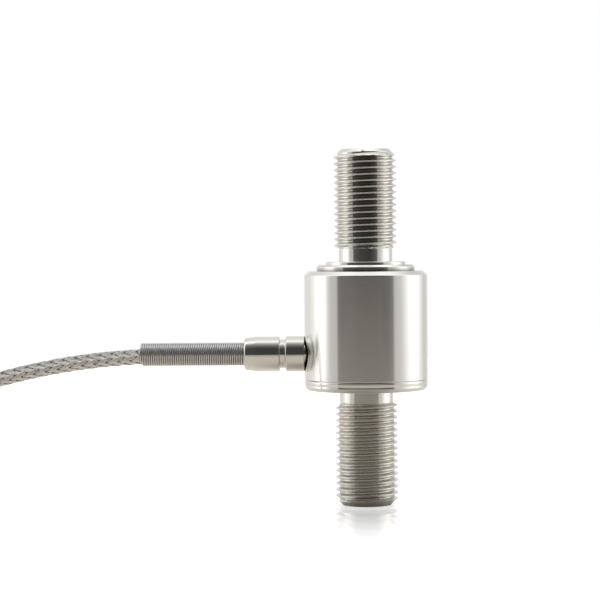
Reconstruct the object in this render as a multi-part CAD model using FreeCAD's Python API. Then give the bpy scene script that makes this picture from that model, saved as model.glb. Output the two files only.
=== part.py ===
import FreeCAD, Part
import math
import os

from FreeCAD import Vector

# Inline load cell with a threaded stud at each end and a braided cable on its side.
# Millimetres. The origin is the centre of the lower stud's end face, +Z is the load axis,
# and the cable leaves along -X.

# Studs, 1/2-20 UNF, modelled at their major diameter
stud_radius = 6.35
stud_chamfer = 1.4
neck_radius = 5.42

# Heights along the load axis
lower_neck_start = 20.8
flange_bottom = 23.3
seam_height = 25.5
pilot_top = 27.0
boss_bottom = 45.5
sleeve_top = 47.7
diaphragm_top = 48.75
boss_top = 49.6
upper_neck_end = 52.0
overall_height = 72.1

# Body
body_radius = 12.5
sleeve_wall = 1.5
flange_rounding = 1.1
sleeve_top_rounding = 0.9
sleeve_lip = 1.2
diaphragm_radius = 9.95
diaphragm_rounding = 0.45
diaphragm_web = 0.4
diaphragm_rim = 0.7
boss_radius = 8.1

# Gauged column
column_radius = 5.0
column_flare = 1.2
flat_distance = 4.2
flat_bottom = 30.0
flat_top = 42.0
gauge_width = 3.6
gauge_height = 6.0
gauge_thickness = 0.1
gauge_tab_offset = 0.9
gauge_tab_rise = 0.5
ribbon_width = 0.3
ribbon_thickness = 0.1

# Bridge board, a routed octagon with an octagonal opening
board_sides = 8
board_inner = 7.7
board_outer = 10.5
board_thickness = 0.8
pad_size = 0.8
pad_height = 0.2
gauge_pad_ring = 8.7
gauge_pad_angle = 12
lead_pad_ring = 9.2
lead_pad_angles = [6, 24]
chip_length = 1.6
chip_width = 0.8
chip_height = 0.55
chip_ring = 9.1
chip_angles = [45, 135, 315]

# Side fitting, by distance from the load axis along the cable
cable_axis_height = 30.7
spigot_radius = 2.2
spigot_end = 10.6
collar_radius = 3.6
collar_end = 16.35
collar_chamfer = 0.35
groove_radius = 2.93
groove_end = 17.55
barrel_radius = 3.52
barrel_taper_start = 22.4
barrel_nose_radius = 3.2
barrel_end = 24.75
barrel_nose_rounding = 0.45
bore_radius = 1.55
pocket_start = 14.0
spring_seat = 20.0
ferrule_sides = 6
plug_start = 10.8

# Strain-relief spring
spring_radius = 2.38
spring_wire = 0.444
spring_end = 46.0
spring_sides = 8
ridge_start = 24.4
ridge_depth = 0.19
coil_count = 48

# Cable
cable_radius = 1.5
cable_start = 13.0
cable_sides = 8
core_sides = 6
inner_lead_radius = 0.35
inner_lead_bend = 9.2
core_offset = 0.5
arc_share = 0.45
cable_route = [
    (-13.0, 0.0, 30.7),
    (-28.0, 0.0, 30.7),
    (-46.5, 0.0, 30.45),
    (-61.5, -0.6, 28.95),
    (-76.5, -2.2, 25.7),
    (-91.0, -4.6, 20.6),
    (-105.0, -7.2, 15.9),
    (-118.5, -8.8, 12.9),
    (-131.0, -9.0, 11.2),
    (-142.0, -9.0, 10.3),
]

# Hank of the put-away length, two columns of four turns, resting on its ties
hank_near_end = -79.0
hank_run = 50.0
hank_inner_radius = 7.5
hank_outer_radius = 13.5
hank_height = 11.25
tie_thickness = 0.6
tie_width = 3.6
tie_lock_length = 4.6
tie_lock_width = 4.0
tie_lock_height = 2.4
tie_places = {"front": (-1, -95.0), "back": (1, -129.0)}

# Stripped far end, inside the hank
tail_route = [
    (-100.0, -9.0, 2.1),
    (-109.0, -8.2, 2.05),
    (-117.0, -3.9, 1.9),
    (-125.5, -2.6, 1.85),
]
sleeve_on_cable = 4.5
end_sleeve_length = 9.5
end_sleeve_radius = 1.8
end_sleeve_waist = 1.35
end_sleeve_shoulder = 0.6
lead_radius = 0.45
lead_bend = 8.5
lead_landing = 13.5
lead_end = 18.0
lead_drop = -1.15
lead_fan = {"red": (-0.5, 0.5, -3.2), "black": (-0.5, -0.5, -1.0),
            "green": (0.5, -0.5, 1.0), "white": (0.5, 0.5, 3.2)}
tip_radius = 0.22
tip_length = 2.0

origin = Vector(0, 0, 0)
up = Vector(0, 0, 1)
quarter_turns = (0, 90, 180, 270)

# Directions in a turned outline, as (radius, height)
outward = (1, 0)
inward = (-1, 0)
upward = (0, 1)
downward = (0, -1)


def eased(corner, before, after, size, steps):
    """Square corner of an outline rounded in straight steps, between the two directions that leave it."""
    turns = [math.pi / 2 * step / steps for step in range(steps + 1)]
    return [tuple(corner[axis]
                  + size * (before[axis] * (1 - math.sin(turn)) + after[axis] * (1 - math.cos(turn)))
                  for axis in (0, 1))
            for turn in turns]


def turned(outline):
    """Solid of revolution about Z from a closed outline of (radius, height) corners."""
    corners = [Vector(radius, 0, height) for radius, height in outline]
    return flat_face(corners).revolve(origin, up, 360)


def flat_face(corners):
    """Flat face with the given corners."""
    return Part.Face(Part.makePolygon(corners + corners[:1]))


def regular(radius, sides, height):
    """Corners of a regular polygon about Z, on the given radius."""
    return [Vector(radius * math.cos(2 * math.pi * corner / sides),
                   radius * math.sin(2 * math.pi * corner / sides), height)
            for corner in range(sides)]


def prism(radius, sides, bottom, top):
    """Upright bar with a regular section."""
    return flat_face(regular(radius, sides, bottom)).extrude(Vector(0, 0, top - bottom))


def faceted(rings, sides):
    """Bar of flat faces through regular sections, given as (radius, height) from its foot up."""
    sections = [regular(radius, sides, height) for radius, height in rings]
    faces = [flat_face(sections[0]), flat_face(sections[-1])]
    for below, above in zip(sections, sections[1:]):
        for side in range(sides):
            faces.append(flat_face([below[side - 1], below[side], above[side], above[side - 1]]))
    return Part.makeSolid(Part.makeShell(faces))


def along_cable(solid):
    """Solid built along Z, laid along the cable's axis so that its height runs to -X."""
    laid = solid.copy()
    laid.rotate(origin, Vector(0, 1, 0), -90)
    laid.translate(Vector(0, 0, cable_axis_height))
    return laid


def turned_to(solid, angle):
    """Copy of a solid, turned about the load axis."""
    copy = solid.copy()
    copy.rotate(origin, up, angle)
    return copy


def rounded_path(points):
    """Straight runs joined by tangent arcs, each as large as its two runs allow."""
    corners = [Vector(*point) for point in points]
    edges = []
    radii = []
    start = corners[0]
    for before, corner, after in zip(corners, corners[1:], corners[2:]):
        back = before - corner
        ahead = after - corner
        setback = arc_share * min(back.Length, ahead.Length)
        back.normalize()
        ahead.normalize()
        half_turn = (math.pi - back.getAngle(ahead)) / 2
        radius = setback / math.tan(half_turn)
        middle = back + ahead
        middle.normalize()
        arc_start = corner + back * setback
        arc_middle = corner + middle * (radius / math.cos(half_turn) - radius)
        arc_end = corner + ahead * setback
        edges.append(Part.LineSegment(start, arc_start).toShape())
        edges.append(Part.Arc(arc_start, arc_middle, arc_end).toShape())
        radii.append(radius)
        start = arc_end
    edges.append(Part.LineSegment(start, corners[-1]).toShape())
    return Part.Wire(edges), radii


def tube(points, radius, sides):
    """Bar with a regular section along a path of straight runs and tangent arcs."""
    path, _ = rounded_path(points)
    start = Vector(*points[0])
    section = flat_face(regular(radius, sides, 0)).OuterWire
    section.Placement = FreeCAD.Placement(start, FreeCAD.Rotation(up, Vector(*points[1]) - start))
    return path.makePipeShell([section], True, False)


def sensing_element():
    """Both studs, the flange, the gauged column and the boss, turned from one bar."""
    stud_end = stud_radius - stud_chamfer
    pilot_radius = body_radius - sleeve_wall
    blank = turned([
        (0, 0),
        (stud_end, 0),
        (stud_radius, stud_chamfer),
        (stud_radius, lower_neck_start),
        (neck_radius, lower_neck_start),
        (neck_radius, flange_bottom),
        *eased((body_radius, flange_bottom), inward, upward, flange_rounding, 2),
        (body_radius, seam_height),
        (pilot_radius, seam_height),
        (pilot_radius, pilot_top),
        *eased((column_radius, pilot_top), outward, upward, column_flare, 1),
        *eased((column_radius, boss_bottom), downward, outward, column_flare, 1),
        (boss_radius, boss_bottom),
        (boss_radius, boss_top),
        (neck_radius, boss_top),
        (neck_radius, upper_neck_end),
        (stud_radius, upper_neck_end),
        (stud_radius, overall_height - stud_chamfer),
        (stud_end, overall_height),
        (0, overall_height),
    ])
    cutter = Part.makeBox(
        column_radius, 2 * column_radius, flat_top - flat_bottom,
        Vector(flat_distance, -column_radius, flat_bottom))
    for angle in quarter_turns:
        blank = blank.cut(turned_to(cutter, angle))
    return blank


def housing_sleeve():
    """Round shell with a turned-in top lip and a side hole for the fitting."""
    inner = body_radius - sleeve_wall
    shell = turned([
        (inner, seam_height),
        (body_radius, seam_height),
        *eased((body_radius, sleeve_top), downward, inward, sleeve_top_rounding, 2),
        (diaphragm_radius, sleeve_top),
        (diaphragm_radius, sleeve_top - sleeve_lip),
        (inner, sleeve_top - sleeve_lip),
    ])
    hole = Part.makeCylinder(spigot_radius, body_radius, Vector(0, 0, column_radius))
    return shell.cut(along_cable(hole))


def top_diaphragm():
    """Ring welded to the sleeve's lip outside and to the boss inside, thin between the two."""
    rim_inner = diaphragm_radius - diaphragm_rim
    rim_bottom = sleeve_top - sleeve_lip
    web_bottom = diaphragm_top - diaphragm_web
    return turned([
        (boss_radius, web_bottom),
        (rim_inner, web_bottom),
        (rim_inner, rim_bottom),
        (diaphragm_radius, rim_bottom),
        *eased((diaphragm_radius, diaphragm_top), downward, inward, diaphragm_rounding, 1),
        (boss_radius, diaphragm_top),
    ])


def strain_gauge(angle):
    """Foil gauge bonded to one flat of the column."""
    middle = (flat_bottom + flat_top) / 2
    foil = Part.makeBox(
        gauge_thickness, gauge_width, gauge_height,
        Vector(flat_distance, -gauge_width / 2, middle - gauge_height / 2))
    return turned_to(foil, angle)


def bridge_board():
    """Ring board that sits on the flange's pilot, its flats facing the column's flats."""
    half_side = 180 / board_sides
    opening_corner = board_inner / math.cos(math.radians(half_side))
    board_top = pilot_top + board_thickness
    board = prism(board_outer, board_sides, pilot_top, board_top)
    return turned_to(board.cut(prism(opening_corner, board_sides, pilot_top, board_top)), half_side)


def board_pad(ring, angle):
    """Solder pad on the board, at a place on a ring about the load axis."""
    pad = Part.makeBox(
        pad_size, pad_size, pad_height,
        Vector(ring - pad_size / 2, -pad_size / 2, pilot_top + board_thickness))
    return turned_to(pad, angle)


def lead_pad_place(side, row):
    """Angle of a cable core's pad: the near or far row, either side of the fitting."""
    return 180 + side * lead_pad_angles[row]


def solder_terminals():
    """All pads: two below each gauge and one for each core of the cable."""
    pads = []
    for side in (-1, 1):
        for angle in quarter_turns:
            pads.append(board_pad(gauge_pad_ring, angle + side * gauge_pad_angle))
        for row in (0, 1):
            pads.append(board_pad(lead_pad_ring, lead_pad_place(side, row)))
    return Part.makeCompound(pads)


def gauge_wires(gauges, terminals):
    """Flat ribbons from the two tabs of each gauge down to its pads."""
    tab_height = (flat_bottom + flat_top - gauge_height) / 2 + gauge_tab_rise
    pad_top = pilot_top + board_thickness + pad_height
    pad_angle = math.radians(gauge_pad_angle)
    ribbons = []
    for angle in quarter_turns:
        for side in (-1, 1):
            tab = Vector(flat_distance + gauge_thickness, side * gauge_tab_offset, tab_height)
            pad = Vector(gauge_pad_ring * math.cos(pad_angle),
                         side * gauge_pad_ring * math.sin(pad_angle), pad_top)
            run = pad - tab
            ribbon = Part.makeBox(ribbon_thickness, ribbon_width, run.Length,
                                  Vector(-ribbon_thickness / 2, -ribbon_width / 2, 0))
            ribbon.Placement = FreeCAD.Placement(tab, FreeCAD.Rotation(up, run))
            ribbon = turned_to(ribbon, angle)
            for neighbour in gauges + [terminals]:
                ribbon = ribbon.cut(neighbour)
            ribbons.append(ribbon.Solids[0])
    return Part.makeCompound(ribbons)


def compensation_resistors():
    """Chip resistors that set the bridge's zero and span."""
    chip = Part.makeBox(
        chip_width, chip_length, chip_height,
        Vector(chip_ring - chip_width / 2, -chip_length / 2, pilot_top + board_thickness))
    return Part.makeCompound([turned_to(chip, angle) for angle in chip_angles])


def cable_fitting():
    """Spigot, collar, groove and tapered barrel turned in one, with a stepped bore."""
    return along_cable(turned([
        (bore_radius, spigot_end),
        (spigot_radius, spigot_end),
        (spigot_radius, body_radius),
        (collar_radius, body_radius),
        *eased((collar_radius, collar_end), downward, inward, collar_chamfer, 1),
        (groove_radius, collar_end),
        (groove_radius, groove_end),
        (barrel_radius, groove_end),
        (barrel_radius, barrel_taper_start),
        *eased((barrel_nose_radius, barrel_end), downward, inward, barrel_nose_rounding, 1),
        (spring_radius, barrel_end),
        (spring_radius, pocket_start),
        (bore_radius, pocket_start),
    ]))


def crimp_ferrule(cable):
    """Hexagonal crimp on the cable, between the fitting's step and the spring."""
    return along_cable(prism(spring_radius, ferrule_sides, pocket_start, spring_seat)).cut(cable)


def strain_relief_spring():
    """Close-wound spring as a tube with one ridge for each visible coil."""
    pitch = (spring_end - ridge_start) / coil_count
    valley = spring_radius - ridge_depth
    rings = [(spring_radius, spring_seat), (spring_radius, ridge_start - pitch / 2)]
    for coil in range(coil_count):
        rings.append((valley, ridge_start + coil * pitch))
        rings.append((spring_radius, ridge_start + (coil + 0.5) * pitch))
    rings.append((valley, spring_end))
    coils = faceted(rings, spring_sides)
    bore = prism(spring_radius - spring_wire, spring_sides, spring_seat, spring_end)
    return along_cable(coils.cut(bore))


def inner_lead(side, row, terminals):
    """Core of the cable, through the plug and down to its pad on the board."""
    lift = core_offset if row else -core_offset
    height = cable_axis_height + lift
    angle = math.radians(lead_pad_place(side, row))
    pad_top = pilot_top + board_thickness + pad_height
    pad_x = lead_pad_ring * math.cos(angle)
    pad_y = lead_pad_ring * math.sin(angle)
    across = math.copysign(core_offset, pad_y)
    route = [(-cable_start, across, height), (-inner_lead_bend, across, height),
             (pad_x, pad_y, pad_top)]
    return tube(route, inner_lead_radius, core_sides).cut(terminals).Solids[0]


def epoxy_plug(cores):
    """Seal poured in the fitting's bore round the four cores."""
    plug = Part.makeCylinder(bore_radius, cable_start - plug_start, Vector(0, 0, plug_start))
    plug = along_cable(plug)
    for core in cores:
        plug = plug.cut(core)
    return plug


def stadium(end_radius):
    """Flat oval block of the hank's run and height and the given end radius, lifted by the ties."""
    near_x = hank_near_end - hank_outer_radius
    far_x = near_x - hank_run
    near_front = Vector(near_x, -end_radius, tie_thickness)
    near_back = Vector(near_x, end_radius, tie_thickness)
    far_front = Vector(far_x, -end_radius, tie_thickness)
    far_back = Vector(far_x, end_radius, tie_thickness)
    near_tip = Vector(near_x + end_radius, 0, tie_thickness)
    far_tip = Vector(far_x - end_radius, 0, tie_thickness)
    rim = Part.Wire([
        Part.LineSegment(far_front, near_front).toShape(),
        Part.Arc(near_front, near_tip, near_back).toShape(),
        Part.LineSegment(near_back, far_back).toShape(),
        Part.Arc(far_back, far_tip, far_front).toShape(),
    ])
    return Part.Face(rim).extrude(Vector(0, 0, hank_height))


def cable_hank():
    """Outer shape of the folded turns, open in the middle."""
    return stadium(hank_outer_radius).cut(stadium(hank_inner_radius))


def hank_tie(side, place):
    """Cable tie round one run of the hank, with its lock on top."""
    bundle = hank_outer_radius - hank_inner_radius
    middle = side * (hank_inner_radius + bundle / 2)
    outer_width = bundle + 2 * tie_thickness
    outer_height = hank_height + 2 * tie_thickness
    band = Part.makeBox(
        tie_width, outer_width, outer_height,
        Vector(place - tie_width / 2, middle - outer_width / 2, 0))
    window = Part.makeBox(
        tie_width, bundle, hank_height,
        Vector(place - tie_width / 2, middle - bundle / 2, tie_thickness))
    lock = Part.makeBox(
        tie_lock_length, tie_lock_width, tie_lock_height,
        Vector(place - tie_lock_length / 2, middle - tie_lock_width / 2, outer_height))
    return band.cut(window).fuse(lock).removeSplitter()


def far_end_frame():
    """Cut end of the cable: its centre, and directions along it, to its side and up."""
    centre = Vector(*tail_route[-1])
    along = centre - Vector(*tail_route[-2])
    along.normalize()
    side = along.cross(up)
    side.normalize()
    return centre, along, side, side.cross(along)


def lead_route(start_side, start_up, end_side):
    """Route of one stripped core: straight out of the cable, then fanned and laid down."""
    centre, along, side, rise = far_end_frame()
    stations = [
        (0, start_side, start_up),
        (lead_bend, start_side, start_up),
        (lead_landing, end_side, lead_drop),
        (lead_end, end_side, lead_drop),
    ]
    return [centre + along * ahead + side * across + rise * lift
            for ahead, across, lift in stations]


def end_sleeve(neighbours):
    """Shrunk sleeve over the end of the cable and the start of its cores."""
    centre, along, _, _ = far_end_frame()
    rings = [
        (end_sleeve_radius, 0),
        (end_sleeve_radius, sleeve_on_cable + end_sleeve_shoulder),
        (end_sleeve_waist, sleeve_on_cable + 2 * end_sleeve_shoulder),
        (end_sleeve_waist, end_sleeve_length),
    ]
    sleeve = faceted(rings, cable_sides)
    sleeve.Placement = FreeCAD.Placement(centre - along * sleeve_on_cable, FreeCAD.Rotation(up, along))
    for neighbour in neighbours:
        sleeve = sleeve.cut(neighbour)
    return sleeve


def lead_tip(route):
    """Tinned end of one core, stripped bare."""
    heading = route[-1] - route[-2]
    tip = prism(tip_radius, core_sides, 0, tip_length)
    tip.Placement = FreeCAD.Placement(route[-1], FreeCAD.Rotation(up, heading))
    return tip


def save(node, shape):
    """Writes one piece and prints its volume."""
    shape.exportStep("parts/" + node + ".step")
    print(node, "solids", len(shape.Solids), "volume", round(shape.Volume, 2), "valid", shape.isValid())


os.makedirs("parts", exist_ok=True)

save("sensing_element", sensing_element())
save("housing_sleeve", housing_sleeve())
save("top_diaphragm", top_diaphragm())

gauge_angles = {"front": 270, "back": 90, "left": 180, "right": 0}
gauges = {name: strain_gauge(angle) for name, angle in gauge_angles.items()}
for name, gauge in gauges.items():
    save("strain_gauge_" + name, gauge)

terminals = solder_terminals()
save("bridge_board", bridge_board())
save("solder_terminals", terminals)
save("compensation_resistors", compensation_resistors())
save("gauge_wires", gauge_wires(list(gauges.values()), terminals))

core_places = {"red": (1, 1), "black": (1, 0), "green": (-1, 0), "white": (-1, 1)}
cores = {colour: inner_lead(side, row, terminals) for colour, (side, row) in core_places.items()}
for colour, core in cores.items():
    save("inner_lead_" + colour, core)

cable = tube(cable_route, cable_radius, cable_sides)
save("cable_fitting", cable_fitting())
save("epoxy_plug", epoxy_plug(cores.values()))
save("crimp_ferrule", crimp_ferrule(cable))
save("strain_relief_spring", strain_relief_spring())
save("sensor_cable", cable)
save("cable_hank", cable_hank())
for name, (side, place) in tie_places.items():
    save("hank_tie_" + name, hank_tie(side, place))

tail = tube(tail_route, cable_radius, cable_sides)
lead_routes = {colour: lead_route(*fan) for colour, fan in lead_fan.items()}
leads = {colour: tube(route, lead_radius, core_sides) for colour, route in lead_routes.items()}
save("cable_tail", tail)
save("end_sleeve", end_sleeve([tail, *leads.values()]))
for colour, lead in leads.items():
    save("lead_" + colour, lead)
save("lead_tips", Part.makeCompound([lead_tip(route) for route in lead_routes.values()]))

section_area = cable_sides / 2 * cable_radius ** 2 * math.sin(2 * math.pi / cable_sides)
for name, route, solid in [("cable", cable_route, cable), ("tail", tail_route, tail)]:
    path, radii = rounded_path(route)
    print(name, "length", round(path.Length, 1), "arc radii", [round(radius, 1) for radius in radii])
    print(name, "volume over section times length", round(solid.Volume / (section_area * path.Length), 4))
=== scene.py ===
import bmesh
import bpy
import numpy as np
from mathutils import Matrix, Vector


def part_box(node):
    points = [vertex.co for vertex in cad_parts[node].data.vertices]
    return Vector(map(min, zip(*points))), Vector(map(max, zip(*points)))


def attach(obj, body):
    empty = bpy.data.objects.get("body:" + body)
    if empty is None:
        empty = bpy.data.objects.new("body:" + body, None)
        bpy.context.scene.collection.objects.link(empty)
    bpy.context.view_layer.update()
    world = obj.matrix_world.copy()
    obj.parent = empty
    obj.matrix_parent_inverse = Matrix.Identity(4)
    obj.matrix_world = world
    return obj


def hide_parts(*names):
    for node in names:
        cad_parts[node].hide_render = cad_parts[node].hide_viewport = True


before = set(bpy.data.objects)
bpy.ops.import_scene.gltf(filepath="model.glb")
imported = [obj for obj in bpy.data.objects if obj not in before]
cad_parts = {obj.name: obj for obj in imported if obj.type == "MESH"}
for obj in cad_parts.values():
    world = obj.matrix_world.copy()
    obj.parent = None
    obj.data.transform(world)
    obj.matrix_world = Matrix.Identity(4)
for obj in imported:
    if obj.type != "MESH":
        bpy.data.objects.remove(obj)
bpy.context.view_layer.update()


# Sensing element: one stainless bar turned to a threaded stud at each end, a base flange, a gauged
# column inside the body and a boss. The 1/2-20 UNF threads are cut in a lathe and run out into necks.
# It stands on the lower stud's end face, and everything else is fixed to it.

MILLIMETRE = 0.001
TURN = 2 * np.pi

stud_radius = 6.35
stud_chamfer = 1.4
thread_pitch = 1.27
thread_depth = 0.78
thread_lines = [0.047, 0.088, 0.15, 0.5, 0.53, 0.56]
crest_rounding = 0.1375
chamfer_slope = 1.0
run_out_slope = 2.2
neck_radius = 5.42
neck_fillet = 0.4
lower_neck_start = 20.8
flange_bottom = 23.3
flange_foot_radius = 11.2
flange_edge_foot = (11.94, 23.4)
flange_wall_foot = (12.46, 24.06)
flange_groove = (12.456, 24.5)
flange_groove_top = 24.98
flange_groove_rounding = 0.6
flange_rounding = 0.15
seam_height = 25.5
seam_rounding = 0.2
pilot_radius = 11.0
pilot_top = 27.0
column_radius = 5.0
column_flare = 1.2
flat_distance = 4.2
flat_bottom = 30.0
flat_top = 42.0
boss_bottom = 45.5
boss_radius = 8.1
boss_rounding = 0.2
boss_fillet = 0.12
boss_top = 49.36
upper_neck_end = 52.0
element_columns = 137
steel_colour = "#D6D4CF"
painted_groove_shade = "#C4C1BB"
groove_falloff = 4.0

merge_distance = 0.0002
sharp_angle = np.radians(40)


def node_box(node):
    """Lowest and highest corner of a CAD node, in millimetres."""
    return [np.array(corner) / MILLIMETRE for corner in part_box(node)]


def grid_piece(name, *surfaces):
    """Mesh of one or more grids of points in millimetres, each given with a grid of UVs. The cell between
    two rows and two columns is a face. Points that fall together, at seams and poles, are merged, and
    faces are turned outwards."""
    points, faces, uvs = [], [], []
    start = 0
    for grid, uv in surfaces:
        rows, columns = grid.shape[:2]
        index = np.arange(rows * columns).reshape(rows, columns)
        cells = np.stack([index[:-1, :-1], index[:-1, 1:], index[1:, 1:], index[1:, :-1]], axis=-1)
        cells = cells.reshape(-1, 4)
        points.append(grid.reshape(-1, 3) * MILLIMETRE)
        faces.append(cells + start)
        uvs.append(uv.reshape(-1, 2)[cells.ravel()])
        start += rows * columns
    mesh = bpy.data.meshes.new(name)
    mesh.from_pydata(np.concatenate(points).tolist(), [], np.concatenate(faces).tolist())
    uv_layer = mesh.uv_layers.new(name="surface")
    uv_layer.data.foreach_set("uv", np.concatenate(uvs).astype(np.float32).ravel())
    merged = bmesh.new()
    merged.from_mesh(mesh)
    bmesh.ops.remove_doubles(merged, verts=merged.verts, dist=merge_distance * MILLIMETRE)
    bmesh.ops.recalc_face_normals(merged, faces=merged.faces)
    merged.to_mesh(mesh)
    merged.free()
    mesh.shade_smooth()
    mesh.set_sharp_from_angle(angle=sharp_angle)
    piece = bpy.data.objects.new(name, mesh)
    bpy.context.scene.collection.objects.link(piece)
    return piece


def unit(vectors):
    """Vectors scaled to length 1."""
    return vectors / np.linalg.norm(vectors, axis=-1, keepdims=True)


def measured(line):
    """Millimetres along a line at each of its points."""
    return np.concatenate([[0], np.cumsum(np.linalg.norm(np.diff(line, axis=0), axis=1))])


def rounded_outline(corners, steps=6, hold=0.03):
    """Line of (radius, height) points through corners given as (radius, height, rounding). A rounding is
    an arc tangent to both sides of its corner. A point just past each end of it, at the distance hold,
    keeps the sides' shading flat."""
    corners = np.array(corners, float)
    corner, rounding = corners[1:-1, :2], corners[1:-1, 2:]
    back = unit(corners[:-2, :2] - corner)
    ahead = unit(corners[2:, :2] - corner)
    between = np.arccos(np.sum(back * ahead, axis=1, keepdims=True))
    setback = rounding / np.tan(between / 2)
    inward = (ahead - np.cos(between) * back) / np.sin(between)
    swept = (np.pi - between) * np.linspace(0, 1, steps + 1)
    centre = corner + back * setback + inward * rounding
    arcs = (centre[:, None] - (rounding * np.cos(swept))[..., None] * inward[:, None]
            - (rounding * np.sin(swept))[..., None] * back[:, None])
    before = corner + back * (setback + hold)
    after = corner + ahead * (setback + hold)
    inner = np.concatenate([before[:, None], arcs, after[:, None]], axis=1).reshape(-1, 2)
    return np.concatenate([corners[:1, :2], inner, corners[-1:, :2]])


def turned(outline, columns):
    """Surface of revolution: the outline's (radius, height) points swept round Z. The UVs are the share of
    a turn and the millimetres along the outline."""
    angle = TURN * np.linspace(0, 1, columns)
    radius, height = outline.T
    grid = np.stack([np.outer(radius, np.cos(angle)), np.outer(radius, np.sin(angle)),
                     np.tile(height[:, None], columns)], axis=-1)
    uv = np.stack(np.broadcast_arrays(angle / TURN, measured(outline)[:, None]), axis=-1)
    return grid, uv


def threaded(foot, top, foot_radius, top_radius, foot_slope, top_slope, columns):
    """Right-hand thread between two heights: a round crest, flanks at 60 degrees to each other and a flat
    root. Each row follows the helix, so it is one line of that profile, at its distance from the crest,
    and where it would run past an end it stays on that end's ring. A cone at each end cuts the profile
    back to the end's radius; its slope is its radius gained per height."""
    crest_edge = crest_rounding * np.sqrt(3) / 2
    lines = np.sort([*thread_lines, crest_edge]) / thread_pitch
    profile = np.concatenate([[-0.5], -lines[::-1], [0], lines])
    turns = np.arange(-2, np.ceil((top - foot) / thread_pitch) + 2)
    share = np.linspace(0, 1, columns)
    rows = (turns[:, None] + profile).reshape(-1, 1)
    height = np.clip(foot + thread_pitch * (rows + share), foot, top)
    off_crest = (height - foot) / thread_pitch - share
    off_crest = thread_pitch * np.abs(off_crest - np.round(off_crest))
    crest = crest_rounding - np.sqrt(crest_rounding ** 2 - np.minimum(off_crest, crest_edge) ** 2)
    flank = np.sqrt(3) * np.maximum(off_crest - crest_edge, 0)
    cones = np.minimum(foot_radius + foot_slope * (height - foot), top_radius + top_slope * (top - height))
    radius = np.minimum(stud_radius - np.minimum(crest + flank, thread_depth), cones)
    grid = np.stack([radius * np.cos(TURN * share), radius * np.sin(TURN * share), height], axis=-1)
    uv = np.stack(np.broadcast_arrays(share, height), axis=-1)
    return grid, uv


def linear(hex_colour):
    """sRGB hex colour as linear RGBA."""
    srgb = np.array([int(hex_colour[start:start + 2], 16) for start in (1, 3, 5)]) / 255
    rgb = np.where(srgb <= 0.04045, srgb / 12.92, ((srgb + 0.055) / 1.055) ** 2.4)
    return (*rgb.tolist(), 1.0)


def add_node(tree, kind, settings=(), inputs=()):
    """Adds a node with its settings. An input is linked if its value is a socket, and set otherwise."""
    node = tree.nodes.new(kind)
    for name, value in dict(settings).items():
        setattr(node, name, value)
    for name, value in dict(inputs).items():
        if isinstance(value, bpy.types.NodeSocket):
            tree.links.new(value, node.inputs[name])
        else:
            node.inputs[name].default_value = value
    return node


def new_material(name, **sockets):
    """Material with a Principled shader whose sockets have the given values."""
    material = bpy.data.materials.new(name)
    material.use_nodes = True
    shader = material.node_tree.nodes["Principled BSDF"]
    for socket, value in sockets.items():
        shader.inputs[socket.replace("_", " ")].default_value = value
    return material, material.node_tree, shader


def turned_steel(name, colour, roughness, spread, line_spacing, line_depth):
    """Stainless steel off the lathe: fine rings round the axis, drawn as a ripple along the outline, spread
    a reflection along the axis and leave it sharp across. Spacing and depth are in millimetres, and the
    spacing is coarser than a lathe's feed, which would be too fine to show."""
    material, tree, shader = new_material(
        name, Base_Color=linear(colour), Metallic=1.0, Roughness=roughness,
        Anisotropic=spread, Anisotropic_Rotation=0.25)
    surface = add_node(tree, "ShaderNodeUVMap", {"uv_map": "surface"})
    along = add_node(tree, "ShaderNodeSeparateXYZ", inputs={"Vector": surface.outputs["UV"]})
    rings = add_node(tree, "ShaderNodeTexNoise", {"noise_dimensions": "1D"},
                     {"W": along.outputs["Y"], "Scale": 1 / line_spacing, "Detail": 3.0})
    bump = add_node(tree, "ShaderNodeBump", inputs={
        "Height": rings.outputs["Fac"], "Distance": line_depth * MILLIMETRE, "Strength": 1.0})
    tangent = add_node(tree, "ShaderNodeTangent", {"direction_type": "UV_MAP", "uv_map": "surface"})
    tree.links.new(bump.outputs["Normal"], shader.inputs["Normal"])
    tree.links.new(tangent.outputs["Tangent"], shader.inputs["Tangent"])
    return material


def fit(piece, material, slot, *nodes):
    """Gives a piece its material, and lets it ride on the cell and stand for CAD nodes. The slot is not
    used."""
    piece.data.materials.append(material)
    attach(piece, "root")
    if nodes:
        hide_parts(*nodes)


element_top = node_box("sensing_element")[1][2]
body_radius = node_box("sensing_element")[1][0]
stud_end = stud_radius - stud_chamfer
middle = rounded_outline([
    (neck_radius, lower_neck_start, 0),
    (neck_radius, flange_bottom, neck_fillet),
    (flange_foot_radius, flange_bottom, flange_rounding),
    (*flange_edge_foot, flange_rounding),
    (*flange_wall_foot, flange_rounding),
    (*flange_groove, flange_groove_rounding),
    (body_radius, flange_groove_top, flange_groove_rounding),
    (body_radius, seam_height, seam_rounding),
    (pilot_radius, seam_height, 0),
    (pilot_radius, pilot_top, 0),
    (column_radius + column_flare, pilot_top, 0),
    (column_radius, pilot_top + column_flare, 0),
    (column_radius, boss_bottom - column_flare, 0),
    (column_radius + column_flare, boss_bottom, 0),
    (boss_radius, boss_bottom, 0),
    (boss_radius, boss_top, boss_rounding),
    (neck_radius, boss_top, boss_fillet),
    (neck_radius, upper_neck_end, 0),
])

# A row just inside each end, and a ring just inside each end face, keep their shading flat
end_row = [0, 0.04]
face_ring = 0.1
middle = np.concatenate([middle[:1], middle[:1] + end_row, middle[1:-1], middle[-1:] - end_row, middle[-1:]])
lower_face, upper_face = [
    turned(np.array([(0, height), (stud_end - face_ring, height), (stud_end, height)]), element_columns)
    for height in (0, element_top)]

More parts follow.
